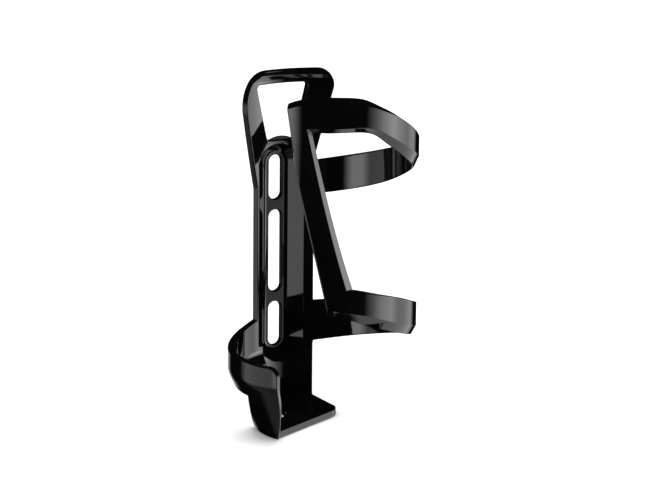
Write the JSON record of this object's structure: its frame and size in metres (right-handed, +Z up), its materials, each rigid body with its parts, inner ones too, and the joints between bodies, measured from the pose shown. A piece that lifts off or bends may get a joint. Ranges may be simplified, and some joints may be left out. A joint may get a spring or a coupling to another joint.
{
  "type": "water bottle cage",
  "caption": "Side-load bicycle bottle cage: a slotted back plate with an upright loop, wrap-around upper and lower arms joined by a slanted strut, a heel band and an open foot shelf.",
  "frame": {"origin": "centre of the two frame bolts on the back mounting face", "axes": "+X right as seen from the front, +Y back into the bicycle frame tube, +Z up along the bottle"},
  "size_m": [0.0784, 0.0822, 0.146],
  "materials": {
    "moulding": "glossy black moulded plastic"
  },
  "bodies": {
    "root": {"bolt_trough": "moulding", "left_rail": "moulding", "right_wing": "moulding", "loop_left_leg": "moulding", "loop_right_leg": "moulding", "loop_crossbar": "moulding", "upper_arm_root": "moulding", "upper_arm_side": "moulding", "upper_arm_front": "moulding", "strut": "moulding", "lower_arm_front": "moulding", "lower_arm_side": "moulding", "lower_arm_root": "moulding", "stem": "moulding", "heel_band": "moulding", "heel_taper": "moulding", "foot_side_wall": "moulding", "foot_shelf": "moulding"}
  },
  "joints": []
}
